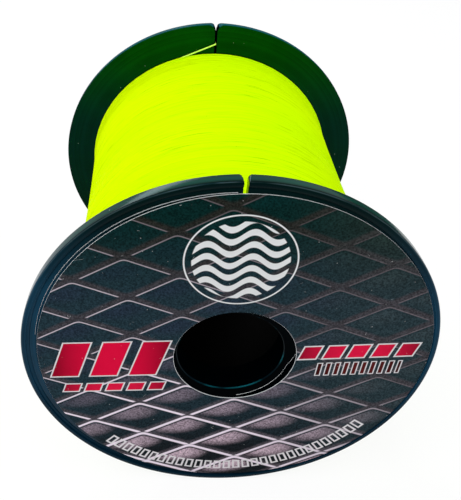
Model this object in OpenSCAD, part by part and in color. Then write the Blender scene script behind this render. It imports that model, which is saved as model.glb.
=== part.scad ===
// Fishing line spool: two moulded flanges plugged into a core tube, a round face label and one
// length of braided line wound on the tube. The axis lies along Y, the label faces -Y and the
// line slits are at the top, so the spool rests on its two rims. The origin is the middle of
// the axis. All sizes are in millimetres.

/* [Flanges] */
// Diameter over the rims
flange_d = 78; // [72:1:96]
// Length over both rims
overall_l = 72; // [56:1:96]
// Thickness of the rim along the axis
rim_w = 2.4; // [2:0.1:3.6]
// Radius on the rim's corner at the outer face
rim_round = 0.6; // [0.4:0.1:0.8]
// Radius on the rim's corner towards the line
rim_round_in = 0.25; // [0.2:0.05:0.6]
// Radial width of the raised rim around the outer face
rim_band = 0.95; // [0.9:0.05:3]
// Radial space between the raised rim and the fine groove around the face
groove_gap = 0.4; // [0.3:0.05:1]
// Width of that groove
groove_w = 0.3; // [0.2:0.05:0.5]
// Depth of that groove
groove_d = 0.15; // [0.1:0.05:0.3]
// Depth of the outer face below the rim
face_recess = 0.45; // [0.3:0.05:0.8]
// Extra thickness of the flange where it meets the core tube
web_draft = 0.45; // [0:0.05:1.2]

/* [Hub] */
// Diameter of the spindle bore
bore_d = 20; // [12:0.5:24]
// Chamfer on the mouth of the bore
bore_chamfer = 0.2; // [0.2:0.1:0.8]
// Wall of the hub around the bore
hub_wall = 2.5; // [1.5:0.1:4]
// Length of the hub inside the flange
hub_l = 3; // [2:0.5:6]
// Number of stiffening ribs between the hub and the spigot
rib_count = 6; // [3:1:12]
// Thickness of a rib
rib_t = 1.6; // [1:0.1:2.5]
// Height of a rib above the flange
rib_h = 1.8; // [1:0.1:2]

/* [Line slit] */
// Width of the open slit in the front flange
slit_w = 0.8; // [0.6:0.05:1.5]
// Space on each side of the line in the rear flange's slit, which clips it
clip_gap = 0.01; // [0.01:0.01:0.1]
// How far the slits reach below the wound line
slit_below_line = 0.6; // [0.2:0.1:1]
// Width at the rim of a slit's mouth, whose corners are round
slit_mouth_w = 2.8; // [2:0.1:4]

/* [Core] */
// Outer diameter of the core tube
core_d = 59.2; // [50:0.2:64]
// Wall of the core tube
core_wall = 2; // [1.2:0.1:3]
// Length of the spigot that plugs into the tube
spigot_l = 6; // [4:0.5:10]
// Wall of the spigot
spigot_wall = 1.6; // [1.2:0.1:3]
// Lead-in chamfer on the end of the spigot
spigot_chamfer = 0.6; // [0.3:0.1:1]
// Number of keys that stop the tube from turning on the flange
key_count = 3; // [2:1:6]
// Width of a key
key_w = 3; // [2:0.5:6]
// Length of a key along the axis
key_l = 2.5; // [1.5:0.5:3.5]
// Clearance around the spigot and its keys
plug_gap = 0.1; // [0.05:0.05:0.3]

/* [Label] */
// Thickness of the label
label_t = 0.15; // [0.1:0.05:0.3]
// Space between the label and the raised rim, if the label were centred
label_margin = 1.05; // [1.05:0.05:3]
// How much wider the label's hole is than the bore, on the radius
label_hole_margin = 1.6; // [1.5:0.1:4]
// How far the label sits to the right of the axis
label_off_x = 0.9; // [0:0.05:0.9]
// How far the label sits below the axis
label_drop = 0.5; // [0:0.05:0.5]
// How far the label's hole sits below the axis
label_hole_drop = 1.1; // [0:0.05:1.1]

/* [Line] */
// Diameter of the line in the outer turns
line_d = 0.2; // [0.15:0.05:0.5]
// Depth of the wound line on the tube, beside the flanges
line_depth = 1.6; // [1:0.1:3.5]
// How far the winding dips between the flanges
line_waist = 0.7; // [0:0.05:0.9]
// Number of turns in the outer layer
outer_turns = 20; // [6:1:24]
// Height above the winding at which the tail enters the slit
tail_lift = 3.4; // [1.5:0.1:4]
// Radius of the bends at the ends of the outer turns
line_bend = 0.8; // [0.8:0.1:1.2]

/* [Anchor tape] */
// Length of the tape around the tube
tape_l = 26; // [12:1:40]
// Width of the tape along the axis
tape_w = 12; // [8:1:20]
// Thickness of the tape
tape_t = 0.2; // [0.1:0.05:0.4]

/* [Hidden] */
$fn = 180;

// Space left between pieces that rest on each other
seat = 0.03;
// Length added to cutting shapes so that they pass through a face
cut = 1;

flange_r = flange_d / 2;
half_l = overall_l / 2;
face_r = flange_r - rim_band;
bore_r = bore_d / 2;
hub_r = bore_r + hub_wall;
core_r = core_d / 2;
tube_in_r = core_r - core_wall;
spigot_r = tube_in_r - plug_gap;
root_w = rim_w + web_draft;
fill_r = core_r + line_depth;
line_r = line_d / 2;

// Depth inside the flange at which the shapes standing on its inner side start
base_w = (face_recess + rim_w) / 2;

// Points of an arc in a profile
arc_steps = 6;
function arc(centre, r, from, to) = [
    for (i = [0:arc_steps])
        let (a = from + (to - from) * i / arc_steps) centre + r * [cos(a), sin(a)]
];

// Half the space between the flanges at radius r, whose inner faces taper towards the rim
function half_gap(r) =
    half_l - rim_w - web_draft * (flange_r - rim_round_in - r) / (flange_r - rim_round_in - core_r);

// Turns a shape made along Z so that it lies along the spool's axis, with its -Y side on top
module along_axis() rotate([-90, 0, 0]) children();

// Cylinder along Z between two heights
module cylinder_from(low, high, r) translate([0, 0, low]) cylinder(h = high - low, r = r);

// Flange disc as a profile of radius and depth, with depth measured from the rim's outer face
module flange_disc() {
    groove_r = face_r - groove_gap - groove_w / 2;
    rotate_extrude() polygon(concat(
        [
            [0, face_recess], [groove_r - groove_w / 2, face_recess],
            [groove_r, face_recess + groove_d], [groove_r + groove_w / 2, face_recess],
            [face_r, face_recess], [face_r, 0]
        ],
        arc([flange_r - rim_round, rim_round], rim_round, -90, 0),
        arc([flange_r - rim_round_in, rim_w - rim_round_in], rim_round_in, 0, 90),
        [[core_r, root_w], [0, root_w]]
    ));
}

// Ring that plugs into the core tube, chamfered at its end
module spigot() {
    tip = root_w + spigot_l;
    rotate_extrude() polygon([
        [spigot_r - spigot_wall, base_w], [spigot_r, base_w],
        [spigot_r, tip - spigot_chamfer], [spigot_r - spigot_chamfer, tip],
        [spigot_r - spigot_wall, tip]
    ]);
}

// Blocks around the spigot, up to radius top, that fit notches in the tube's end; gap makes
// them larger
module keys(top, gap = 0) {
    root = spigot_r - spigot_wall / 2;
    for (i = [0:key_count - 1])
        rotate(360 * i / key_count)
            translate([root, -key_w / 2 - gap, base_w])
                cube([top - root, key_w + 2 * gap, root_w + key_l - base_w + gap]);
}

module ribs() {
    root = hub_r - hub_wall / 2;
    for (i = [0:rib_count - 1])
        rotate(360 * (i + 0.5) / rib_count)
            translate([root, -rib_t / 2, base_w])
                cube([spigot_r - spigot_wall / 2 - root, rib_t, root_w + rib_h - base_w]);
}

// Slit of width w from the rim to just below the wound line, with a round floor and a rounded mouth
module slit(w) {
    floor_r = fill_r - slit_below_line + w / 2;
    corner_r = (slit_mouth_w - w) / 2;
    translate([0, 0, -cut]) linear_extrude(root_w + 2 * cut) {
        translate([0, -floor_r]) circle(d = w);
        translate([-w / 2, -flange_r - cut]) square([w, flange_r + cut - floor_r]);
        difference() {
            translate([-slit_mouth_w / 2, -flange_r - cut]) square([slit_mouth_w, corner_r + cut]);
            for (side = [-1, 1])
                translate([side * slit_mouth_w / 2, corner_r - flange_r]) circle(corner_r);
        }
    }
}

// Whole flange moulding with a slit of width w, its outer face at the front end of the spool
module flange(w) {
    translate([0, -half_l, 0]) along_axis() difference() {
        union() {
            flange_disc();
            cylinder_from(base_w, root_w + hub_l, hub_r);
            spigot();
            ribs();
            keys(sqrt(pow(core_r - plug_gap, 2) - pow(key_w / 2, 2)));
        }
        cylinder_from(-cut, root_w + hub_l + cut, bore_r);
        translate([0, 0, face_recess])
            cylinder(h = bore_chamfer, r1 = bore_r + bore_chamfer, r2 = bore_r);
        slit(w);
    }
}

module front_flange() color("#0b1418") flange(slit_w);

module rear_flange() color("#0b1418") mirror([0, 1, 0]) flange(line_d + 2 * clip_gap);

module core_tube() color("#16191b") along_axis() {
    tube_half = half_l - root_w - seat;
    difference() {
        cylinder_from(-tube_half, tube_half, core_r);
        cylinder_from(-tube_half - cut, tube_half + cut, tube_in_r);
        for (end = [0, 1])
            mirror([0, 0, end]) translate([0, 0, -half_l]) keys(core_r + cut, plug_gap);
    }
}

module face_label() color("#26282c")
    translate([label_off_x, face_recess - half_l - seat, 0]) along_axis() difference() {
        translate([0, label_drop, 0]) cylinder_from(-label_t, 0, face_r - label_margin);
        translate([0, label_hole_drop, -label_t - cut])
            cylinder(h = label_t + 2 * cut, r = bore_r + label_hole_margin);
    }

// Curved strip of tape under the tube's line, made larger by gap to cut its own place
module tape(gap = 0) {
    swept = tape_l / core_r * 180 / PI + 2 * gap;
    rotate(90 - swept / 2) rotate_extrude(angle = swept)
        translate([core_r + seat - gap, -tape_w / 2 - gap]) square([tape_t + 2 * gap, tape_w + 2 * gap]);
}

module anchor_tape() color("#d9d4c4") along_axis() tape();

// Radius of the winding at a distance y from the middle
function fill_at(y) = fill_r - line_waist * (1 - pow(y / half_gap(fill_r), 2));

// Wound line below its outer layer, a hollow drum with a slight waist
waist_steps = 16;
module line_pack() color("#c8f000") along_axis() {
    pack_half = half_gap(fill_r) - seat;
    root_half = half_gap(core_r) - seat;
    difference() {
        rotate_extrude() polygon(concat(
            [[core_r + seat, root_half], [core_r + seat, -root_half]],
            [
                for (i = [-waist_steps / 2:waist_steps / 2])
                    let (y = 2 * i / waist_steps * pack_half) [fill_at(y), y]
            ]
        ));
        tape(seat);
    }
}

// Route of the outer layer. Its turns have straight sides that rest on the winding at their
// middles, so the corners stand a little further out.
turn_steps = 24;
function turn_r(y) = (fill_at(y) + line_r + seat) / cos(180 / turn_steps);
function on_turn(a, y) = [turn_r(y) * sin(a), y, turn_r(y) * cos(a)];

// Points of a rounded corner at k, from direction a to direction b
bend_steps = 4;
function corner(k, a, b) = [
    for (i = [0:bend_steps])
        let (t = 90 * i / bend_steps) k - line_bend * a + line_bend * (sin(t) * a + (1 - cos(t)) * b)
];

axial = [0, 1, 0];
// The layer starts square against the front flange and ends on the tail's tangent point
end_y = half_gap(fill_r) - line_bend - line_d;
start_y = -end_y;
slit_z = fill_r + line_d + tail_lift;
tail_a = acos(turn_r(end_y) / slit_z);
start_a = -tail_a - 360 * outer_turns;
turn_corners = turn_steps * outer_turns;

first_corner = on_turn(start_a, start_y);
first_way = [cos(start_a), 0, -sin(start_a)];
tail_way = [cos(tail_a), 0, sin(tail_a)];
line_route = concat(
    [[first_corner.x, seat - half_gap(fill_r), first_corner.z]],
    corner(first_corner, axial, first_way),
    [
        for (i = [1:turn_corners])
            let (part = i / turn_corners)
                on_turn(start_a + 360 * outer_turns * part, start_y + (end_y - start_y) * part)
    ],
    corner([0, end_y, slit_z], tail_way, axial),
    [[0, half_l - face_recess, slit_z]]
);

// One tube swept along a route, as rings of points carried from each point to the next
tube_sides = 6;
function unit(v) = v / norm(v);
function way_at(route, i) = unit(route[min(i + 1, len(route) - 1)] - route[max(i - 1, 0)]);
function across(v, way) = unit(v - (v * way) * way);
module tube(route, r) {
    last = len(route) - 1;
    ways = [for (i = [0:last]) way_at(route, i)];
    sides = [for (i = 0, n = across([1, 1, 1], ways[0]); i <= last; i = i + 1,
                  n = i <= last ? across(n, ways[i]) : n) n];
    points = [
        for (i = [0:last], k = [0:tube_sides - 1])
            let (a = 360 * k / tube_sides)
                route[i] + r * (cos(a) * sides[i] + sin(a) * cross(ways[i], sides[i]))
    ];
    walls = [
        for (i = [0:last - 1], k = [0:tube_sides - 1])
            let (a = i * tube_sides + k, b = i * tube_sides + (k + 1) % tube_sides)
                each [[a, a + tube_sides, b], [b, a + tube_sides, b + tube_sides]]
    ];
    ends = [
        for (k = [1:tube_sides - 2], e = [0, last * tube_sides])
            e == 0 ? [0, k, k + 1] : [e, e + k + 1, e + k]
    ];
    polyhedron(points, concat(walls, ends));
}

module line_outer_turns() color("#d6ff10") tube(line_route, line_r);

// Least space between the outer turns, measured on the route's points
least_gap = min([
    for (i = [0:len(line_route) - 1], j = [i + turn_steps / 2:1:len(line_route) - 1])
        norm(line_route[i] - line_route[j])
]) - line_d;
echo(least_gap = least_gap);

front_flange();
rear_flange();
core_tube();
face_label();
anchor_tape();
line_pack();
line_outer_turns();
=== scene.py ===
"""Fishing line spool: two moulded flanges on a core tube, a round face label and wound braid.

The axis lies along Y, the label faces -Y and the line slits are at the top.
"""

import math

import bmesh
import bpy
from mathutils import Matrix, Vector, noise


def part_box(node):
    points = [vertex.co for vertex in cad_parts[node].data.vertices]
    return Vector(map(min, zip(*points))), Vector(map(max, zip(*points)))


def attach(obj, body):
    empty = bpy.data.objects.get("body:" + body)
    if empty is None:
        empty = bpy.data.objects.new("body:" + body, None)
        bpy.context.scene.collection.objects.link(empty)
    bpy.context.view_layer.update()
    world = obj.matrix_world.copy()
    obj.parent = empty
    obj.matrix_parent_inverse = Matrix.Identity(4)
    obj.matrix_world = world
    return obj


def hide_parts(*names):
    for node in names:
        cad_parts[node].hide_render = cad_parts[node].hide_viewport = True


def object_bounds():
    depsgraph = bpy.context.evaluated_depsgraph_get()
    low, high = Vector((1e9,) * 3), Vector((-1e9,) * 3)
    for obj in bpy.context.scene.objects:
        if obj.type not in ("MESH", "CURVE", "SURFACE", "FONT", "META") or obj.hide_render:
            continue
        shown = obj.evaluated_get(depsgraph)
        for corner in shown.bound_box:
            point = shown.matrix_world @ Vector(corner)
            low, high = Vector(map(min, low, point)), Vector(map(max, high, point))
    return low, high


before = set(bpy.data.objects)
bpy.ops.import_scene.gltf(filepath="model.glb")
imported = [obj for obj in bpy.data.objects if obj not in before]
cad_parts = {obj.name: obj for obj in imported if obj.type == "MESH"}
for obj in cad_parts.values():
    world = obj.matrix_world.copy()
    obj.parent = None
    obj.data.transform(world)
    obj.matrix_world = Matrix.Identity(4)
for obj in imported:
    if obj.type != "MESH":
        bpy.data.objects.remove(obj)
cad_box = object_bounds()


# Core tube: a plain length of extruded black plastic pipe that both flanges plug into.
# Its own solid stays, and gets the dull finish and the fine lengthwise lines that the die leaves.

MM = 0.001


class Shade:
    """A value or colour in a material's nodes; sums and products of values add Math nodes."""

    def __init__(self, tree, socket=None):
        self.tree = tree
        self.socket = socket

    def node(self, kind, settings, inputs, output=0):
        """Adds a node: its settings are set first, then its sockets get values or links."""
        made = self.tree.nodes.new("ShaderNode" + kind)
        for name, value in settings.items():
            setattr(made, name, value)
        for name, value in inputs.items():
            if isinstance(value, Shade):
                self.tree.links.new(value.socket, made.inputs[name])
            else:
                made.inputs[name].default_value = value
        return Shade(self.tree, made.outputs[output] if made.outputs else None)

    def math(self, operation, *values):
        return self.node("Math", {"operation": operation}, dict(enumerate(values)))

    def __add__(self, other):
        return self.math("ADD", self, other)

    def __sub__(self, other):
        return self.math("SUBTRACT", self, other)

    def __rsub__(self, other):
        return self.math("SUBTRACT", other, self)

    def __mul__(self, other):
        return self.math("MULTIPLY", self, other)

    def __pow__(self, other):
        return self.math("POWER", self, other)

    def __abs__(self):
        return self.math("ABSOLUTE", self)

    __radd__ = __add__
    __rmul__ = __mul__

    def rise(self, low, high):
        """0 at low and 1 at high, with a smooth step between; low may be the larger one."""
        return self.node(
            "MapRange", {"interpolation_type": "SMOOTHSTEP"}, {0: self, 1: low, 2: high, 3: 0, 4: 1}
        )

    def blend(self, first, second):
        """Colour that goes from first to second as this value goes from 0 to 1."""
        ends = [end if isinstance(end, Shade) else (*end, 1) for end in (first, second)]
        return self.node("Mix", {"data_type": "RGBA"}, {0: self, 6: ends[0], 7: ends[1]}, 2)

    def dimmed(self, share):
        """This colour times a value."""
        return self.node(
            "Mix", {"data_type": "RGBA", "blend_type": "MULTIPLY"}, {0: 1.0, 6: self, 7: share}, 2
        )


def new_finish(name):
    """An empty material, and the Shade that adds nodes to it."""
    made = bpy.data.materials.new(name)
    made.use_nodes = True
    made.node_tree.nodes.clear()
    return made, Shade(made.node_tree)


def close_finish(shade, inputs):
    """Ends a material with one surface shader and its sockets."""
    surface = shade.node("BsdfPrincipled", {}, inputs)
    shade.node("OutputMaterial", {}, {"Surface": surface})


def place_on(shade, stretch=(1, 1, 1)):
    """Object coordinates in millimetres, stretched along each axis."""
    return shade.node(
        "VectorMath",
        {"operation": "MULTIPLY"},
        {0: shade.node("TexCoord", {}, {}, "Object"), 1: [s / MM for s in stretch]},
    )


def speckle(shade, stretch, scale, detail=2.0):
    """Noise from 0 to 1 over the piece, at so many spots per stretched millimetre."""
    return shade.node(
        "TexNoise", {}, {"Vector": place_on(shade, stretch), "Scale": scale, "Detail": detail}
    )


def relief(shade, height, depth):
    """Normals of fine relief, whose height from 0 to 1 is so many millimetres deep."""
    return shade.node("Bump", {}, {"Height": height, "Strength": 1.0, "Distance": depth * MM})


def tube_finish():
    made, shade = new_finish("extruded_black_plastic")
    die_lines = speckle(shade, (2.4, 0.05, 2.4), 1.0)
    mottle = speckle(shade, (0.12, 0.12, 0.12), 1.0)
    close_finish(shade, {
        "Base Color": mottle.blend((0.0004, 0.0006, 0.0007), (0.0010, 0.0014, 0.0015)),
        "Roughness": 0.45 + die_lines * 0.15,
        "Specular IOR Level": 0.02,
        "Normal": relief(shade, die_lines, 0.02),
    })
    return made


def dress(node_name, finish):
    """Gives a solid that stays as it is its finish."""
    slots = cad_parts[node_name].data.materials
    slots.clear()
    slots.append(finish)


dress("core_tube", tube_finish())


# Anchor tape: a strip of creped paper tape that holds the inner end of the line on the tube.
# It lies under the whole winding, pressed flat on the tube by hand.


def tape_finish():
    made, shade = new_finish("creped_paper_tape")
    crepe = speckle(shade, (0.5, 3.0, 0.5), 1.0)
    fibre = speckle(shade, (1, 1, 1), 5.0, 4.0)
    close_finish(shade, {
        "Base Color": (crepe * 0.6 + fibre * 0.4).blend((0.52, 0.45, 0.32), (0.74, 0.67, 0.52)),
        "Roughness": 0.62 + fibre * 0.2,
        "Normal": relief(shade, crepe, 0.08),
    })
    return made


dress("anchor_tape", tape_finish())


# Flanges: two mouldings of teal-black plastic with a raised rim, a hub with ribs, a spigot with keys
# that plugs into the tube, and a slit at the top. The mould is polished on the side towards the
# line, dull in the bore and around it, and satin elsewhere. The green on the side towards the line
# is a painted reflection of the line.

flange_low, flange_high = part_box("front_flange")
FLANGE_R = flange_high.x
FRONT_Y = flange_low.y
RIM_W = 2.4 * MM
# Round of the rim's outer corner, its stretch along the axis, and the round towards the line
FRONT_EDGES = (0.4 * MM, 1.0, 0.25 * MM)
REAR_EDGES = (0.8 * MM, 1.8, 0.08 * MM)
FACE_R = FLANGE_R - 0.95 * MM
FACE_RECESS = 0.45 * MM
GROOVE_R = FACE_R - 0.55 * MM
GROOVE_W = 0.3 * MM
GROOVE_D = 0.15 * MM
ROOT_W = 2.85 * MM
TAPER_FROM = 1 * MM
BORE_R = 10 * MM
BORE_CHAMFER = 0.2 * MM
DULL_R = 16 * MM
HUB_R = 12.5 * MM
HUB_END = ROOT_W + 3 * MM
CORE_R = 29.6 * MM
SPIGOT_R = 27.5 * MM
SPIGOT_WALL = 1.6 * MM
SPIGOT_IN_R = SPIGOT_R - SPIGOT_WALL
SPIGOT_MID_R = SPIGOT_R - SPIGOT_WALL / 2
SPIGOT_END = ROOT_W + 6 * MM
SPIGOT_CHAMFER = 0.6 * MM
# Depth at which the ribs and keys start, inside the web
BLOCK_FROM = (FACE_RECESS + RIM_W) / 2
RIB_COUNT = 6
RIB_T = 1.6 * MM
RIB_IN_R = HUB_R - 1 * MM
RIB_END = ROOT_W + 1.8 * MM
KEY_COUNT = 3
KEY_W = 3 * MM
KEY_OUT_R = CORE_R - 0.15 * MM
KEY_END = ROOT_W + 2.5 * MM
# Width, width on the side towards the line, the same two for the mouth's round, depth between
FRONT_SLIT = (0.8 * MM, 0.8 * MM, 0.3 * MM, 1.2 * MM, 2.0 * MM)
REAR_SLIT = (0.12 * MM, 0.62 * MM, 2.0 * MM, 2.0 * MM, 0.5 * MM)
SLIT_FLOOR_R = 30.6 * MM
SLIT_SOFT = 0.1 * MM
EDGE_SOFT = 0.07 * MM
# How far the slit's cutter stands out of the flange
CUT_PAST = 1 * MM
MOUTH_STEPS = 12
LEAD_STEPS = 4
ROUND_STEPS = 288
SHARP = math.radians(35)
FACING = 0.9
MERGE = 1e-7
RIM, FACE, LINE_SIDE, DULL, CUT = range(5)


def arc(centre, radius, start, stop, steps=8, stretch=1):
    """Points of an arc around centre, from angle start to angle stop in degrees."""
    turns = [math.radians(start + (stop - start) * i / steps) for i in range(steps + 1)]
    return [
        (centre[0] + radius * math.cos(t), centre[1] + stretch * radius * math.sin(t)) for t in turns
    ]


def loop_of(mesh, points):
    """Closed loop of edges through the points."""
    corners = [mesh.verts.new(point) for point in points]
    return corners, [mesh.edges.new((corners[i - 1], corners[i])) for i in range(len(corners))]


def spun(profile, steps):
    """Closed profile of radius and place along the axis, turned once around the axis."""
    mesh = bmesh.new()
    corners, edges = loop_of(mesh, [(r, y, 0) for r, y in profile])
    bmesh.ops.spin(
        mesh, geom=corners + edges, cent=(0, 0, 0), axis=(0, 1, 0), angle=2 * math.pi, steps=steps,
        use_merge=True,
    )
    bmesh.ops.remove_doubles(mesh, verts=mesh.verts, dist=MERGE)
    bmesh.ops.recalc_face_normals(mesh, faces=mesh.faces)
    return mesh


def soften(mesh, edges, width, segments=2, material=-1):
    """Rounds edges."""
    bmesh.ops.bevel(
        mesh, geom=edges, offset=width, offset_type="OFFSET", segments=segments, profile=0.5,
        affect="EDGES", clamp_overlap=True, material=material,
    )


def sharp_edges(mesh):
    return [e for e in mesh.edges if len(e.link_faces) == 2 and e.calc_face_angle() > SHARP]


def edges_at(corners):
    """Edges that meet some vertices, each once and in the same order on every run."""
    return list(dict.fromkeys(e for v in corners for e in v.link_edges))


def fill_shape(shape, mesh):
    """Ends a bmesh as the mesh of a piece, smooth but for its sharp edges."""
    mesh.to_mesh(shape)
    mesh.free()
    shape.shade_smooth()
    shape.set_sharp_from_angle(angle=SHARP)


def new_piece(name, mesh, *finishes):
    """Turns a finished bmesh into an object with its materials."""
    shape = bpy.data.meshes.new(name)
    fill_shape(shape, mesh)
    for finish in finishes:
        shape.materials.append(finish)
    piece = bpy.data.objects.new(name, shape)
    bpy.context.scene.collection.objects.link(piece)
    return piece


def inner_depth(r):
    """Depth behind the rim's face of the tapered side towards the line, at a radius."""
    return RIM_W + (ROOT_W - RIM_W) * (FLANGE_R - r) / (FLANGE_R - CORE_R)


def flange_body(round_out, stretch, round_in, dull_r):
    """Disc, hub and spigot, spun from one profile of radius and depth behind the rim's face."""
    taper_r = FLANGE_R - TAPER_FROM
    profile = [
        (BORE_R, HUB_END), (BORE_R, FACE_RECESS + BORE_CHAMFER), (BORE_R + BORE_CHAMFER, FACE_RECESS),
        (DULL_R, FACE_RECESS),
        (GROOVE_R - GROOVE_W / 2, FACE_RECESS), (GROOVE_R, FACE_RECESS + GROOVE_D),
        (GROOVE_R + GROOVE_W / 2, FACE_RECESS), (FACE_R, FACE_RECESS), (FACE_R, 0),
        *arc((FLANGE_R - round_out, stretch * round_out), round_out, -90, 0, stretch=stretch),
        *arc((FLANGE_R - round_in, RIM_W - round_in), round_in, 0, 90),
        (taper_r, inner_depth(taper_r)), (CORE_R, ROOT_W), (SPIGOT_R, ROOT_W),
        (SPIGOT_R, SPIGOT_END - SPIGOT_CHAMFER), (SPIGOT_R - SPIGOT_CHAMFER, SPIGOT_END),
        (SPIGOT_IN_R, SPIGOT_END), (SPIGOT_IN_R, ROOT_W),
        (HUB_R, ROOT_W), (HUB_R, HUB_END),
    ]
    mesh = spun([(r, FRONT_Y + depth) for r, depth in profile], ROUND_STEPS)
    for face in mesh.faces:
        middle = face.calc_center_median()
        reach = math.hypot(middle.x, middle.z)
        outward = face.normal.y < -FACING
        if reach < BORE_R + BORE_CHAMFER / 4 or outward and reach < dull_r:
            face.material_index = DULL
        elif outward:
            face.material_index = FACE
        elif face.normal.y > FACING:
            face.material_index = LINE_SIDE
    soften(mesh, sharp_edges(mesh), EDGE_SOFT)
    return mesh


def block(mesh, low, high, turn):
    """Box between two corners, turned about the axis, with soft edges."""
    size = [b - a for a, b in zip(low, high)]
    middle = [(a + b) / 2 for a, b in zip(low, high)]
    made = bmesh.ops.create_cube(mesh, size=1)["verts"]
    bmesh.ops.scale(mesh, vec=size, verts=made)
    bmesh.ops.translate(mesh, vec=middle, verts=made)
    bmesh.ops.rotate(mesh, cent=(0, 0, 0), matrix=Matrix.Rotation(turn, 3, "Y"), verts=made)
    soften(mesh, edges_at(made), EDGE_SOFT)


def ring_blocks(mesh, count, offset, width, inner, outer, end):
    """Equal blocks around the axis, from the web of the flange to depth end."""
    for i in range(count):
        block(
            mesh, (inner, FRONT_Y + BLOCK_FROM, -width / 2), (outer, FRONT_Y + end, width / 2),
            -2 * math.pi * (i + offset) / count,
        )


def slit_outline(width, mouth_round):
    """Slit with a round floor and a mouth with round corners."""
    half = width / 2
    mouth = half + mouth_round
    corner_z = FLANGE_R - mouth_round
    return [
        (mouth, FLANGE_R + CUT_PAST), (-mouth, FLANGE_R + CUT_PAST),
        *arc((-mouth, corner_z), mouth_round, 90, 0, MOUTH_STEPS),
        *arc((0, SLIT_FLOOR_R + half), half, 180, 360),
        *arc((mouth, corner_z), mouth_round, 180, 90, MOUTH_STEPS),
    ]


def slit_cutter(width, lead_width, mouth_round, lead_round, lead_depth):
    """Solid of a slit through the flange, rounded out on the side towards the line."""
    mesh = bmesh.new()
    lead_in = arc((1, -lead_depth), 1, 180, 90, LEAD_STEPS, lead_depth)
    levels = [(0, -2 * ROOT_W), *lead_in, (1, CUT_PAST)]
    before = []
    for i, (share, offset) in enumerate(levels):
        outline = slit_outline(
            width + (lead_width - width) * share, mouth_round + (lead_round - mouth_round) * share
        )
        points = [(x, FRONT_Y + inner_depth(z) + offset, z) for x, z in outline]
        corners, edges = loop_of(mesh, points)
        if before:
            bmesh.ops.bridge_loops(mesh, edges=before + edges)
        if i in (0, len(levels) - 1):
            mesh.faces.new(corners)
        before = edges
    bmesh.ops.recalc_face_normals(mesh, faces=mesh.faces)
    for face in mesh.faces:
        face.material_index = CUT
    return mesh


def cut_slit(flange, slit):
    """Flange with the slit cut through it, soft edges on the cut and the rim's finish at its mouth."""
    cutter = new_piece("slit_cutter", slit_cutter(*slit), *flange.data.materials)
    cut = flange.modifiers.new("slit", "BOOLEAN")
    cut.operation = "DIFFERENCE"
    cut.solver = "EXACT"
    cut.material_mode = "INDEX"
    cut.object = cutter
    solved = flange.evaluated_get(bpy.context.evaluated_depsgraph_get())
    mesh = bmesh.new()
    mesh.from_mesh(solved.data)
    flange.modifiers.clear()
    bpy.data.objects.remove(cutter)
    walls = [e for e in sharp_edges(mesh) if [f.material_index for f in e.link_faces].count(CUT) == 1]
    soften(mesh, walls, SLIT_SOFT, 3, CUT)
    mouth_z = FLANGE_R - slit[3] / 4
    for face in mesh.faces:
        if face.material_index == CUT and face.calc_center_median().z > mouth_z:
            face.material_index = RIM
    return mesh


def flange_moulding(name, edges, slit, dull_r, turned, *finishes):
    """One whole flange with its slit, turned round for the rear end."""
    flange = new_piece(name, flange_body(*edges, dull_r), *finishes)
    mesh = cut_slit(flange, slit)
    ring_blocks(mesh, RIB_COUNT, 0.5, RIB_T, RIB_IN_R, SPIGOT_MID_R, RIB_END)
    ring_blocks(mesh, KEY_COUNT, 0.0, KEY_W, SPIGOT_MID_R, KEY_OUT_R, KEY_END)
    fill_shape(flange.data, mesh)
    if turned:
        flange.data.transform(Matrix.Diagonal((1, -1, 1, 1)))
        flange.data.flip_normals()
    return flange


# Heights in millimetres between which the plastic's colour changes: below the low one it darkens
# towards the floor as painted shade, and between the two it turns to the top colour, a painted
# reflection and sheen
FOOT_TONE, LOW_TONE, TOP_TONE = -36, 9, 34
# How far inside the rim's corner its painted edge highlight lies, in millimetres
EDGE_HIGHLIGHT_IN = 0.12
BLACK = (0.0001, 0.0007, 0.0012)
TEAL = (0.003, 0.075, 0.092)
DEEP_TEAL = (0.002, 0.024, 0.040)
SEA_GREEN = (0.004, 0.052, 0.034)
NAVY = (0.004, 0.038, 0.076)
SLATE = (0.001, 0.010, 0.016)
BOTTLE = (0.0003, 0.005, 0.002)
GREEN = (0.0012, 0.046, 0.0010)
DEEP_GREEN = (0.0004, 0.011, 0.013)
EDGE_HIGHLIGHT = (0.10, 0.15, 0.16)
DUST = (0.62, 0.66, 0.66)
BLUE_GLOSS = (0.1, 0.6, 0.9)
FACE_GLOSS = (0.1, 0.6, 1.0)
GREEN_GLOSS = (0.05, 1.0, 0.05)


def axes_on(shade, axes):
    """Object coordinates in millimetres along some axes, one by one."""
    return [shade.node("SeparateXYZ", {}, {0: place_on(shade)}, axis) for axis in axes]


def paint_rim_light(plastic, radius, y, z, patch):
    """Colour of plastic with a painted reflection on the rim's outer side, a painted highlight
    along the rim's edge, and patchy painted highlights at the bore's lip.
    """
    rim_r, rim_y, bore_r = FLANGE_R / MM, -FRONT_Y / MM, BORE_R / MM
    off_middle = abs(abs(y) - (rim_y - 0.55 * RIM_W / MM))
    # The middle of the rim's outer side takes a painted reflection, blue low down and green at the top
    painted_land_reflection = radius.rise(rim_r - 0.3, rim_r - 0.05) * off_middle.rise(1.1, 0.2)
    plastic = painted_land_reflection.blend(plastic, z.rise(LOW_TONE, TOP_TONE).blend(NAVY, SEA_GREEN))
    # A patchy painted highlight along the rim's corner
    inward = rim_r - EDGE_HIGHLIGHT_IN - radius
    behind = rim_y - EDGE_HIGHLIGHT_IN - abs(y)
    off_edge = (inward * inward + behind * behind) ** 0.5
    painted_edge_highlight = off_edge.rise(0.14, 0.05) * patch.rise(0.25, 0.55) * 0.3
    plastic = painted_edge_highlight.blend(plastic, EDGE_HIGHLIGHT)
    # Patchy painted teal highlights at the bore's lip
    painted_bore_highlight = radius.rise(bore_r + 0.5, bore_r + 0.3)
    return painted_bore_highlight.blend(plastic, patch.rise(0.45, 0.65).blend(BLACK, TEAL))


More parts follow.
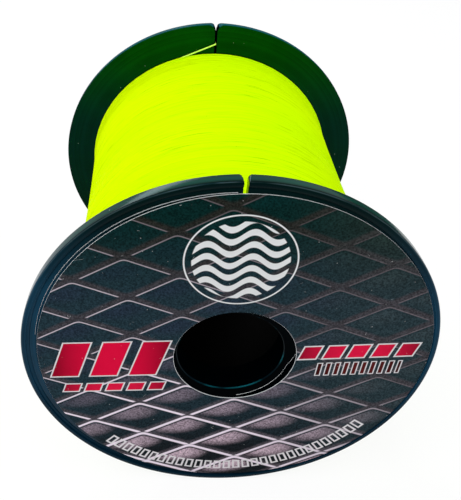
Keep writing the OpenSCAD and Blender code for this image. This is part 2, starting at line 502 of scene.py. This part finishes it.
def plastic_finish(name, low, top, gloss, tint, roughness, marked=False):
    """Moulded plastic with a tinted gloss, flow marks, grain and a little dust. Its colour goes from
    low to top up the part, darker near the floor as painted shade, and where marked it has painted
    highlights and reflections on the rim and the bore."""
    made, shade = new_finish(name)
    x, y, z = axes_on(shade, "XYZ")
    radius = (x * x + z * z) ** 0.5
    flow = speckle(shade, (0.09, 0.09, 0.09), 1.0, 3.0)
    grain = speckle(shade, (1, 1, 1), 9.0, 3.0)
    patch = speckle(shade, (0.2, 0.2, 0.2), 1.0)
    spot = shade.node("TexVoronoi", {}, {"Vector": place_on(shade), "Scale": 0.4})
    dusty = spot.rise(0.05, 0.02) * patch.rise(0.5, 0.6)
    around = shade.node("CombineXYZ", {}, {0: radius, 1: y})
    rings = shade.node("TexNoise", {}, {"Vector": around, "Scale": 2.2})
    streaks = (flow * 0.4 + rings * 0.6).rise(0, 1)
    # Darker towards the floor: painted shade
    plastic = z.rise(FOOT_TONE, LOW_TONE).blend([c * 0.3 for c in low], low)
    # The top colour up the part stands in for painted reflection and sheen
    plastic = z.rise(LOW_TONE, TOP_TONE).blend(plastic, top)
    if marked:
        plastic = paint_rim_light(plastic, radius, y, z, patch)
    plastic = plastic.dimmed(0.2 + streaks * 1.6)
    close_finish(shade, {
        "Base Color": (dusty * 0.6).blend(plastic, DUST),
        "Roughness": roughness + flow * 0.04 + grain * 0.06 + dusty * 0.3,
        "Specular IOR Level": gloss,
        "Specular Tint": (*tint, 1),
        "Normal": relief(shade, grain, 0.006),
    })
    return made


# The satin finishes turn from blue low down to green at the top, a painted reflection of the line, and
# darken towards the floor as painted shade.
satin = plastic_finish("satin_navy_plastic", NAVY, BOTTLE, 0.09, BLUE_GLOSS, 0.05, True)
face_satin = plastic_finish("satin_black_plastic", SLATE, BOTTLE, 0.1, FACE_GLOSS, 0.08)
# The rear rim's teal, brighter towards the top, is a painted sheen.
rear_rim_painted_sheen = plastic_finish("teal_plastic_painted_sheen", DEEP_TEAL, TEAL, 0.005, TEAL, 0.2)
# The inner faces' green, brighter towards the top, is a painted reflection of the line.
painted_reflection_plastic = plastic_finish("black_plastic_painted_line_reflection", DEEP_GREEN, GREEN, 0.1, GREEN_GLOSS, 0.1)
dull = plastic_finish("dull_black_plastic", BLACK, BLACK, 0.01, TEAL, 0.4)
as_cut = plastic_finish("cut_black_plastic", BLACK, BLACK, 0.0, TEAL, 0.5)
front_flange = flange_moulding(
    "front_flange_moulding", FRONT_EDGES, FRONT_SLIT, DULL_R, False,
    satin, satin, painted_reflection_plastic, dull, satin,
)
rear_flange = flange_moulding(
    "rear_flange_moulding", REAR_EDGES, REAR_SLIT, BORE_R, True,
    rear_rim_painted_sheen, face_satin, painted_reflection_plastic, dull, as_cut,
)

for flange, node_name in ((front_flange, "front_flange"), (rear_flange, "rear_flange")):
    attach(flange, "root")
    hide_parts(node_name)


# Face label: a round printed paper label stuck inside the front rim, a little low and to the
# right, with an off-centre hole around the bore. Its cut edge shows the white paper, and a sliver
# of the punched-out disc still clings beside the hole.

label_low, label_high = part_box("face_label")
LABEL_X = (label_low.x + label_high.x) / 2
LABEL_Z = (label_low.z + label_high.z) / 2
LABEL_R = (label_high.x - label_low.x) / 2
LABEL_T = label_high.y - label_low.y
HOLE_X = LABEL_X
HOLE_Z = -1.1 * MM
HOLE_R = 11.6 * MM
LABEL_STEPS = 192
LABEL_EDGE = 0.09 * MM
HOLE_EDGE = 0.13 * MM
NEAR = 1e-6
PRINT, PAPER, PUNCHED = range(3)
STRIP_STEPS = 24
# Bearings from the top, in degrees clockwise, between which the sliver and the film's edge show
SLIVER_SWEEP = (92, 171)
FILM_SWEEP = (277, 358)
# Radius of the sliver's inner side at its two ends
SLIVER_R = (11.35 * MM, 12.1 * MM)
SLIVER_GAP = 0.1 * MM
SLIVER_SUNK = 0.1 * MM
FILM_AT = Vector((0.03, 0.33)) * MM
FILM_R = 36.4 * MM
FILM_W = 0.1 * MM


def circle_at(mesh, x, z, radius):
    """Ring of edges that faces along the axis at the label's front."""
    turned = Matrix.Translation((x, label_low.y, z)) @ Matrix.Rotation(math.pi / 2, 4, "X")
    made = bmesh.ops.create_circle(mesh, segments=LABEL_STEPS, radius=radius, matrix=turned)["verts"]
    return edges_at(made)


def strip_outline(sweep, sides):
    """Outline of a curved strip; sides gives its inner and outer point at a share of its length."""
    inner, outer = [], []
    for i in range(STRIP_STEPS + 1):
        part = i / STRIP_STEPS
        turn = math.radians(sweep[0] + (sweep[1] - sweep[0]) * part)
        near, far = sides(part, Vector((math.sin(turn), math.cos(turn))))
        inner.append(near)
        outer.append(far)
    return inner + outer[::-1]


def sliver_sides(part, way):
    """Strip along the lower right of the hole, pointed at its upper end."""
    middle = Vector((HOLE_X, HOLE_Z))
    along = middle.dot(way)
    hole_edge = along + math.sqrt(along * along - middle.length_squared + HOLE_R * HOLE_R)
    reach = hole_edge - SLIVER_GAP
    width = reach - SLIVER_R[0] - (SLIVER_R[1] - SLIVER_R[0]) * part
    return way * (reach - width * min(1.0, 0.1 + 5 * part)), way * reach


def film_sides(part, way):
    """Edge of the clear film over the label, where it stands out at the upper left."""
    half = FILM_W / 2 * (0.3 + 0.7 * math.sin(math.pi * part))
    return FILM_AT + way * (FILM_R - half), FILM_AT + way * (FILM_R + half)


def draw_out(mesh, faces, depth):
    """Gives flat faces a thickness along the axis."""
    drawn = bmesh.ops.extrude_face_region(mesh, geom=faces)["geom"]
    moved = [v for v in drawn if isinstance(v, bmesh.types.BMVert)]
    bmesh.ops.translate(mesh, vec=(0, depth, 0), verts=moved)
    bmesh.ops.recalc_face_normals(mesh, faces=mesh.faces)


def on_hole(edge):
    """Whether an edge lies around the hole at the label's front."""
    middle = Vector((HOLE_X, label_low.y, HOLE_Z))
    return all(abs((v.co - middle).length - HOLE_R) < NEAR for v in edge.verts)


def at_front(edge):
    return edge.verts[0].co.y < label_low.y + NEAR


def label_shape():
    """Label with its hole, the sliver and the film's edge, all as thick as the paper."""
    mesh = bmesh.new()
    rings = circle_at(mesh, LABEL_X, LABEL_Z, LABEL_R) + circle_at(mesh, HOLE_X, HOLE_Z, HOLE_R)
    bmesh.ops.bridge_loops(mesh, edges=rings)
    sliver = strip_outline(SLIVER_SWEEP, sliver_sides)
    film = strip_outline(FILM_SWEEP, film_sides)
    for outline, sunk in ((sliver, SLIVER_SUNK), (film, 0)):
        corners = loop_of(mesh, [(at.x, label_low.y + sunk, at.y) for at in outline])[0]
        mesh.faces.new(corners)
    draw_out(mesh, mesh.faces[:], LABEL_T)
    soften(mesh, [e for e in sharp_edges(mesh) if on_hole(e)], HOLE_EDGE, 1)
    soften(mesh, [e for e in sharp_edges(mesh) if at_front(e)], LABEL_EDGE, 1)
    for face in mesh.faces:
        middle = face.calc_center_median()
        beyond = math.hypot(middle.x - LABEL_X, middle.z - LABEL_Z) > LABEL_R
        if beyond or face.normal.y > -FACING:
            face.material_index = PAPER
        elif math.hypot(middle.x - HOLE_X, middle.z - HOLE_Z) < HOLE_R:
            face.material_index = PUNCHED
    return mesh


def paper_finish():
    made, shade = new_finish("white_label_paper")
    fibre = speckle(shade, (1, 1, 1), 4.0, 4.0)
    close_finish(shade, {
        "Base Color": fibre.blend((0.62, 0.64, 0.66), (0.86, 0.87, 0.88)),
        "Roughness": 0.7 + fibre * 0.2,
        "Specular IOR Level": 0.2,
    })
    return made


# The print's sizes are in millimetres. The lattice goes in steps from the top corner of one lozenge
# to the next, and its lines widen from the first width to the second towards the lower edge.
LATTICE_AT = (-18.52, 4.76)
COLUMN_STEP = 9.36
ROW_STEP = 4.66
LATTICE_TILT = math.radians(4.0)
CELL_W = 8.35
CELL_ROUND = 1.1
BAND_W = 1.25
LINE_W = (0.22, 0.66)
INK_SOFT = 0.06
# Colours where the print's silver meets the painted glare at the lower edge
GLARED_SILVER = (0.62, 0.46, 0.54)
GLARED_SILVER_SHADE = (0.008, 0.011, 0.014)
GLARED_SILVER_BAND = (0.16, 0.13, 0.155)
GLARED_SILVER_LINE = (0.90, 0.78, 0.88)
WHITE_INK = (0.78, 0.74, 0.76)
BADGE_WHITE = (0.86, 0.86, 0.86)
LINT = (0.8, 0.8, 0.8)
RED_INK = (0.80, 0.004, 0.05)
ROSE_INK = (0.80, 0.01, 0.06)
BROWN_INK = (0.10, 0.012, 0.012)
# Each row of bars: centre, tilt in degrees, size, pitch, width, lean, outline and ink
BAR_ROWS = (
    ((-22.3, -1.7), 2.0, (21.0, 9.4), 7.4, 5.6, 0.35, 0.30, RED_INK),
    ((-22.0, -9.4), 2.0, (19.6, 2.5), 4.1, 3.4, 0.35, 0.28, ROSE_INK),
    ((24.4, 0.6), 3.0, (22.4, 3.8), 4.6, 3.8, 0.35, 0.32, ROSE_INK),
    ((24.9, -4.0), 3.0, (16.4, 3.6), 1.72, 1.15, 0.12, 0.22, BROWN_INK),
)
# Middle of the row of ticks along its arc and its radius, and the radius that the arc is measured at
TICKS_AT = (3.35, 34.3)
TICK_ARC_R = 34
TICK_PITCH = 2.0
TICK_W = 1.5
TICK_COUNT = 29
TICK_H = 2.6
BADGE_AT = (0.3, 22.5)
BADGE_R = 9.8
WAVES_R = 8.5
WAVE_STEP = 2.6


def lattice(x, z):
    """Distances in millimetres from a point of the label to the upper and lower sides of its
    lozenge, the point's height in it from 0 at the bottom to 1 at the top, and its place across
    it from -1 at the left to 1 at the right."""
    across = Vector((math.cos(LATTICE_TILT), math.sin(LATTICE_TILT))) * COLUMN_STEP
    down = Vector((math.sin(LATTICE_TILT), -math.cos(LATTICE_TILT))) * ROW_STEP
    turn = Matrix(((across.x, down.x), (across.y, down.y))).inverted()
    x = x - LATTICE_AT[0]
    z = z - LATTICE_AT[1]
    column = x * turn[0][0] + z * turn[0][1]
    row = x * turn[1][0] + z * turn[1][1]
    rightward = (column - row) * 0.5
    leftward = (column + row) * -0.5
    right = rightward.math("FRACT", rightward)
    left = leftward.math("FRACT", leftward)
    upper = right.math("SMOOTH_MIN", (1 - right) * CELL_W, (1 - left) * CELL_W, CELL_ROUND)
    lower = right.math("SMOOTH_MIN", right * CELL_W, left * CELL_W, CELL_ROUND)
    return upper, lower, (right + left) * 0.5, right - left


def lattice_print(shade, x, z, grain):
    """Dark lozenges in raised bands. Towards the label's lower edge they turn silver, partly the
    print's own and partly a painted glare, and towards the top they darken as painted shade.
    """
    upper, lower, height, across = lattice(x, z)
    aside = x + 3
    # Grows towards the lower edge: partly the print's silver and partly a painted glare
    glare_and_silver = shade.node("MapRange", {}, {0: 8 - z - aside * aside * 0.0126, 1: 0, 2: 36, 3: 0, 4: 1})
    glare_and_silver_sq = glare_and_silver * glare_and_silver
    left = x.rise(20, -20)
    right = x.rise(4, 28)
    # Darker and greener towards the top: painted shade
    top = z.rise(11, 33)

    def toned(low_left, low_right, top_left, top_right):
        """Colour that changes across the label and towards its top, where the change is a painted
        shade.
        """
        return top.blend(right.blend(low_left, low_right), right.blend(top_left, top_right))

    plain = toned(
        (0.019, 0.032, 0.054), (0.034, 0.052, 0.060), (0.002, 0.023, 0.022), (0.018, 0.034, 0.028)
    )
    edge = toned(
        (0.016, 0.036, 0.048), (0.022, 0.040, 0.048), (0.002, 0.020, 0.018), (0.014, 0.026, 0.022)
    )
    spread = (height - 0.76) * 2.8
    lean = across + 0.3
    off_glow = spread * spread + lean * lean * 2.0
    past_band = upper - BAND_W / 2
    glow = off_glow.rise(1.3, -0.2) * past_band.rise(0.2, 0.6)
    inside = glow.blend(glare_and_silver_sq.blend(edge, GLARED_SILVER_SHADE), glare_and_silver_sq.blend(plain, GLARED_SILVER))

    band = glare_and_silver_sq.blend((0.064, 0.054, 0.062), GLARED_SILVER_BAND)
    band = top.blend(band, right.blend((0.025, 0.021, 0.017), (0.042, 0.042, 0.042)))
    below = (lower - upper).rise(-0.1, 0.1)
    ridge = below * (0.65 + upper.rise(0, BAND_W / 2) * 0.35)
    shade_off = (1 - below) * lower.rise(BAND_W / 2 + 0.5, 0.25) * (0.8 - glare_and_silver_sq * 0.3)
    raised = past_band.rise(INK_SOFT, -INK_SOFT) * ridge + shade_off
    colour = raised.blend(inside, band).dimmed(0.5 + grain.rise(0.25, 0.75))

    wide = LINE_W[0] + glare_and_silver * (LINE_W[1] - LINE_W[0])
    line = abs(past_band + wide * 0.5).rise(wide * 0.75, wide * 0.3)
    line = line * lower.rise(0.7 - glare_and_silver * 0.8, 1.1 - glare_and_silver * 0.8)
    # Lines brighter to the left and with the glare and silver, and dimmer towards the top as painted
    # shade
    line = line * (0.10 + left * 0.55 + glare_and_silver * 0.8) * (1 - top * 0.75)
    return line.math("MINIMUM", line, 1).blend(colour, GLARED_SILVER_LINE)


def bars(x, z, centre, tilt, size, pitch, width, lean):
    """Signed distance in millimetres to a row of leaning bars, below 0 inside them."""
    turn = math.radians(tilt)
    x, z = x - centre[0], z - centre[1]
    along = x * math.cos(turn) + z * math.sin(turn)
    up = z * math.cos(turn) - x * math.sin(turn)
    leaning = along - up * lean
    step = leaning.math("FLOORED_MODULO", leaning + size[0] / 2, pitch)
    beside = abs(step - width / 2) - width / 2
    within = beside.math("MAXIMUM", beside, abs(up) - size[1] / 2)
    return within.math("MAXIMUM", within, abs(leaning) - size[0] / 2)


def print_bars(colour, x, z):
    """Rows of bars with a white outline, whose ink fades towards the row's ends."""
    for centre, tilt, size, pitch, width, lean, outline, ink in BAR_ROWS:
        reach = bars(x, z, centre, tilt, size, pitch, width, lean)
        away = abs(x - centre[0]) * (2 / size[0])
        filling = (away * away).blend(ink, [c * 0.4 for c in ink])
        colour = reach.rise(INK_SOFT, -INK_SOFT).blend(colour, WHITE_INK)
        colour = reach.rise(INK_SOFT - outline, -INK_SOFT - outline).blend(colour, filling)
    return colour


def print_ticks(colour, x, z):
    """Row of outlined ticks that follows the lower edge."""
    bearing = x.math("ARCTAN2", x, z * -1)
    radius = (x * x + z * z) ** 0.5
    size = ((TICK_COUNT - 1) * TICK_PITCH + TICK_W, TICK_H)
    ticks = bars(bearing * TICK_ARC_R, radius, TICKS_AT, 0.0, size, TICK_PITCH, TICK_W, 0.0)
    return abs(ticks + 0.16).rise(0.28, 0.14).blend(colour, WHITE_INK)


def print_badge(colour, x, z):
    """White ring with waves in it."""
    x = x - BADGE_AT[0]
    z = z - BADGE_AT[1]
    radius = (x * x + z * z) ** 0.5
    ring = abs(radius - BADGE_R).rise(0.2, 0.08)
    swell = z - x.math("SINE", x * 0.8) * 1.1
    crest = abs(swell.math("PINGPONG", swell + 4 * WAVE_STEP, WAVE_STEP) - WAVE_STEP / 2)
    wave = crest.rise(0.55, 0.7) * radius.rise(WAVES_R + 0.1, WAVES_R - 0.1)
    return ring.math("MAXIMUM", ring, wave).blend(colour, BADGE_WHITE)


def print_finish():
    """Printed paper under a clear film, with specks and fibres of lint on it."""
    made, shade = new_finish("printed_label_face")
    x, z = axes_on(shade, "XZ")
    grain = speckle(shade, (1, 1, 1), 3.4, 2.0)
    colour = lattice_print(shade, x, z, grain)
    colour = print_bars(colour, x, z)
    colour = print_ticks(colour, x, z)
    colour = print_badge(colour, x, z)
    specks = shade.node("TexVoronoi", {}, {"Vector": place_on(shade), "Scale": 0.42})
    wisps = speckle(shade, (1, 1, 1), 0.5, 1.0)
    fibres = abs(wisps - 0.5).rise(0.008, 0.002) * speckle(shade, (1, 1, 1), 0.6).rise(0.69, 0.73)
    marks = specks.math("MAXIMUM", specks.rise(0.045, 0.02), fibres)
    close_finish(shade, {
        "Base Color": (marks * 0.5).blend(colour, LINT),
        "Roughness": 0.42 + grain * 0.12,
        "Specular IOR Level": 0.012,
        "Normal": relief(shade, grain, 0.004),
    })
    return made


label = new_piece("printed_face_label", label_shape(), print_finish(), paper_finish(), as_cut)
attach(label, "root")
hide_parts("face_label")


# Wound line: some hundred metres of thin fluorescent braid, laid turn beside turn by a machine.
# It builds up a little against the flanges, so the winding has a slight waist.

pack_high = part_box("line_pack")[1]
FILL_R = pack_high.x
PACK_HALF = pack_high.y
# The tape lies at the foot of the tube, and the winding stays clear of it all round
TAPE_GAP = 0.03 * MM
PACK_IN_R = TAPE_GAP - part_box("anchor_tape")[0].z
WAIST = 0.7 * MM
TURN_PITCH = 0.3 * MM
LINE_R = 0.16 * MM
WIND_STEPS = 160
LIME = (0.68, 0.91, 0.0)
GREEN_LIME = (0.60, 0.92, 0.0)
DULL_LIME = (0.44, 0.68, 0.0)
DULL_GREEN_LIME = (0.36, 0.64, 0.0)
LIME_SPECK = (0.20, 0.34, 0.0)
TAIL_LIME = (0.64, 1.0, 0.12)


def fill_at(y):
    """Radius of the winding at distance y from the middle."""
    return FILL_R - WAIST * (1 - (y / PACK_HALF) ** 2)


def winding_shape():
    """Hollow drum with the ridges of the last layer but one."""
    ridges = round(2 * PACK_HALF / TURN_PITCH) - 1
    pitch = 2 * PACK_HALF / (ridges + 1)
    profile = [(PACK_IN_R, -PACK_HALF)]
    for i in range(2 * ridges + 1):
        y = -PACK_HALF + pitch * i / 2
        profile.append((fill_at(y) - LINE_R * (1.2 - 0.4 * (i % 2)), y))
    profile.append((PACK_IN_R, profile[-1][1]))
    return spun(profile, WIND_STEPS)


def line_finish():
    """Braid that is darker in streaks along the turns, with a few dark specks, and paler where it
    stands above the winding as a painted highlight.
    """
    made, shade = new_finish("fluorescent_braid")
    x, z = axes_on(shade, "XZ")
    streak = speckle(shade, (0.09, 2.4, 0.09), 1.0, 2.0)
    strands = speckle(shade, (0.05, 4.0, 0.05), 1.0, 3.0)
    braid = speckle(shade, (2.5, 4.0, 2.5), 1.0, 1.0)
    marked = streak.rise(0.60, 0.73) * 0.8 + strands.rise(0.42, 0.7) * 0.35
    # A little darker and greener towards the right: painted shade
    side = x.rise(-30, 10)
    specks = shade.node("TexVoronoi", {}, {"Vector": place_on(shade), "Scale": 0.5})
    colour = marked.blend(side.blend(LIME, GREEN_LIME), side.blend(DULL_LIME, DULL_GREEN_LIME))
    colour = (specks.rise(0.06, 0.03) * 0.5).blend(colour, LIME_SPECK)
    # Paler where the line stands above the winding: a painted highlight
    lifted = ((x * x + z * z) ** 0.5).rise(FILL_R / MM + 0.6, FILL_R / MM + 0.8)
    colour = lifted.blend(colour, TAIL_LIME)
    close_finish(shade, {
        "Base Color": colour,
        "Roughness": 0.55 + braid * 0.2,
        "Specular IOR Level": 0.003,
        "Specular Tint": (1.0, 1.0, 0.05, 1),
        # The emission is a painted glow that stands in for the braid's fluorescence
        "Emission Color": colour,
        "Emission Strength": 0.12,
        "Normal": relief(shade, braid * 0.5 + strands * 0.5, 0.015),
    })
    return made


braid_line = line_finish()
winding = new_piece("wound_line", winding_shape(), braid_line)
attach(winding, "root")
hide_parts("line_pack")


# Outer turns: the last layer of the same line. It starts against the front flange, winds to the
# rear one, turns back over itself, leaves on a tangent and is clipped in the rear slit.

STEPS_PER_TURN = 64
LAYER_HALF = PACK_HALF - 0.25 * MM
BACK_TURNS = 3
BACK_Y = PACK_HALF - 1.2 * MM
# Height of the line above the winding, in line radii, in the layer and on the turns over it
LAYER_LIFT = 0.6
BACK_LIFT = 2.2
TAIL_Z = 34.1 * MM
SLIT_Y = -FRONT_Y - inner_depth(TAIL_Z)
BEND_R = 0.35 * MM
BEND_STEPS = 6
# Points of the route that are off the winding, and the line's thickness there and in the slit
TAIL_POINTS = BEND_STEPS + 3
SWELL = 1.15
SQUEEZE = 0.45
SLACK = 0.05 * MM


def outer_route():
    """Points of the layer from the front flange to the end of the tail in the rear slit."""
    tail_turn = math.acos((fill_at(BACK_Y) + BACK_LIFT * LINE_R) / TAIL_Z)
    layer_turns = round(2 * LAYER_HALF / TURN_PITCH)
    count = (layer_turns + BACK_TURNS) * STEPS_PER_TURN
    route = []
    for i in range(count + 1):
        laid = i / STEPS_PER_TURN
        back = max(0.0, (laid - layer_turns) / BACK_TURNS)
        turn = -tail_turn - 2 * math.pi * (layer_turns + BACK_TURNS - laid)
        y = -LAYER_HALF + 2 * LAYER_HALF * min(1.0, laid / layer_turns) - (LAYER_HALF - BACK_Y) * back
        y += SLACK * noise.noise((turn * 0.4, 0, 0)) * min(1.0, (count - i) / STEPS_PER_TURN)
        r = fill_at(y) + LINE_R * (LAYER_LIFT + (BACK_LIFT - LAYER_LIFT) * min(1.0, 3 * back))
        r += SLACK * noise.noise((turn * 0.4, 9, 0)) * (1 - back)
        route.append(Vector((r * math.sin(turn), y, r * math.cos(turn))))
    corner = Vector((0, SLIT_Y - BEND_R, TAIL_Z))
    toward = (corner - route[-1]).normalized()
    for i in range(BEND_STEPS + 1):
        t = math.pi / 2 * i / BEND_STEPS
        rearward = Vector((0, BEND_R * (1 - math.cos(t)), 0))
        route.append(corner - toward * BEND_R + toward * BEND_R * math.sin(t) + rearward)
    route.append(Vector((0, SLIT_Y + RIM_W / 2, TAIL_Z)))
    return route


def thickness(at, points_left):
    """Share of the line's thickness at a point of the route."""
    if at.y > SLIT_Y - BEND_R / 2:
        return SQUEEZE
    return SWELL if points_left <= TAIL_POINTS else 1.0


def strand(name, route, radius, finish):
    """Round line along a route, as a mesh."""
    curve = bpy.data.curves.new(name, "CURVE")
    curve.dimensions = "3D"
    curve.bevel_depth = radius
    curve.bevel_resolution = 1
    curve.use_fill_caps = True
    spline = curve.splines.new("POLY")
    spline.points.add(len(route) - 1)
    for i, (point, at) in enumerate(zip(spline.points, route)):
        point.co = (*at, 1)
        point.radius = thickness(at, len(route) - i)
    drawn = bpy.data.objects.new(name, curve)
    shape = bpy.data.meshes.new_from_object(drawn)
    bpy.data.objects.remove(drawn)
    mesh = bmesh.new()
    mesh.from_mesh(shape)
    bpy.data.meshes.remove(shape)
    bmesh.ops.remove_doubles(mesh, verts=mesh.verts, dist=MERGE / 10)
    bmesh.ops.recalc_face_normals(mesh, faces=mesh.faces)
    for face in mesh.faces:
        face.material_index = 0
    return new_piece(name, mesh, finish)


outer_turns = strand("outer_line_turns", outer_route(), LINE_R, braid_line)
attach(outer_turns, "root")
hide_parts("line_outer_turns")


# Studio: a plain white floor under the rims, soft light from above and from both sides, and a
# camera above the front flange that looks down over the winding. A grey flag at the right keeps
# the white out of the rim's gloss there.

FLOOR_SIZE = (6.0, 6.0)
FLAG_SIZE = (0.24, 0.12)
FLAG_AT = (0.16, 0.15, 0.02)
FLAG_TURN = math.radians(-40)
CAMERA_AT = Vector((-13.87, -120.91, 96.19)) * MM
CAMERA_YAW = math.radians(-2.22)
CAMERA_PITCH = math.radians(-30.746)
CAMERA_ROLL = math.radians(1.864)
# Focal length in pixels over the image's height in pixels
FOCAL_SHARE = 653.3 / 500
LENS_SHIFT = (0.0988, -0.2106)
SENSOR = 36


def backdrop_rays(shade):
    """1 for the rays that show the backdrop itself, seen straight or in a gloss."""
    path = ("Is Camera Ray", "Is Glossy Ray", "Is Transmission Ray")
    seen = [shade.node("LightPath", {}, {}, name) for name in path]
    return seen[0].math("MAXIMUM", seen[0], seen[1].math("MAXIMUM", seen[1], seen[2]))


def floor_finish():
    made, shade = new_finish("white_floor")
    lit = shade.node("BsdfDiffuse", {}, {"Color": (0.8, 0.8, 0.8, 1)})
    white = shade.node("Emission", {}, {"Color": (1, 1, 1, 1), "Strength": 1.04})
    mixed = shade.node("MixShader", {}, {0: backdrop_rays(shade) * 0.86, 1: lit, 2: white})
    shade.node("OutputMaterial", {}, {"Surface": mixed})
    return made


def flag_finish():
    made, shade = new_finish("grey_flag")
    cloth = shade.node("BsdfDiffuse", {}, {"Color": (0.10, 0.14, 0.15, 1)})
    shade.node("OutputMaterial", {}, {"Surface": cloth})
    return made


def panel(name, size, place, finish):
    """Flat rectangle of the studio, so many metres wide and long."""
    mesh = bmesh.new()
    bmesh.ops.create_grid(
        mesh, x_segments=1, y_segments=1, size=0.5, matrix=place @ Matrix.Diagonal((*size, 1, 1))
    )
    return new_piece(name, mesh, finish)


def softbox(name, at, size, watts, colour):
    """Area lamp that faces the spool."""
    lamp = bpy.data.lights.new(name, "AREA")
    lamp.shape = "RECTANGLE"
    lamp.size, lamp.size_y = size
    lamp.energy = watts
    lamp.color = colour
    holder = bpy.data.objects.new(name, lamp)
    holder.location = at
    holder.rotation_euler = (-Vector(at)).to_track_quat("-Z", "Y").to_euler()
    bpy.context.scene.collection.objects.link(holder)


floor = panel("studio_floor", FLOOR_SIZE, Matrix.Translation((0, 0, cad_box[0].z)), floor_finish())

upright = Matrix.Rotation(FLAG_TURN, 4, "Z") @ Matrix.Rotation(math.pi / 2, 4, "X")
flag = panel("right_flag", FLAG_SIZE, Matrix.Translation(FLAG_AT) @ upright, flag_finish())
flag.visible_camera = False
flag.visible_diffuse = False
flag.visible_shadow = False

world = bpy.data.worlds.new("studio")
bpy.context.scene.world = world
world.use_nodes = True
world.node_tree.nodes.clear()
air = Shade(world.node_tree)
dim = air.node("Background", {}, {"Color": (0.92, 0.96, 1.0, 1), "Strength": 0.42})
bright = air.node("Background", {}, {"Color": (1, 1, 1, 1), "Strength": 1.0})
sky = air.node("MixShader", {}, {0: backdrop_rays(air), 1: dim, 2: bright})
air.node("OutputWorld", {}, {"Surface": sky})

softbox("key_softbox", (-0.30, -0.32, 0.52), (0.45, 0.45), 1.7, (1.0, 0.99, 0.97))
softbox("back_strip", (-0.26, 0.42, 0.26), (0.50, 0.10), 1.2, (1.0, 1.0, 1.0))
softbox("top_strip", (-0.10, -0.06, 0.60), (0.60, 0.05), 0.9, (1.0, 1.0, 1.0))
softbox("side_softbox", (0.50, -0.10, 0.30), (0.40, 0.40), 0.9, (0.95, 0.98, 1.0))

lens = bpy.data.cameras.new("camera")
lens.sensor_width = SENSOR
lens.lens = FOCAL_SHARE * SENSOR
lens.shift_x, lens.shift_y = LENS_SHIFT
lens.clip_start = 0.01
camera = bpy.data.objects.new("camera", lens)
camera.matrix_world = (
    Matrix.Translation(CAMERA_AT)
    @ Matrix.Rotation(CAMERA_YAW, 4, "Z")
    @ Matrix.Rotation(math.pi / 2 + CAMERA_PITCH, 4, "X")
    @ Matrix.Rotation(CAMERA_ROLL, 4, "Z")
)
bpy.context.scene.collection.objects.link(camera)
bpy.context.scene.camera = camera
bpy.context.scene.view_settings.view_transform = "Standard"
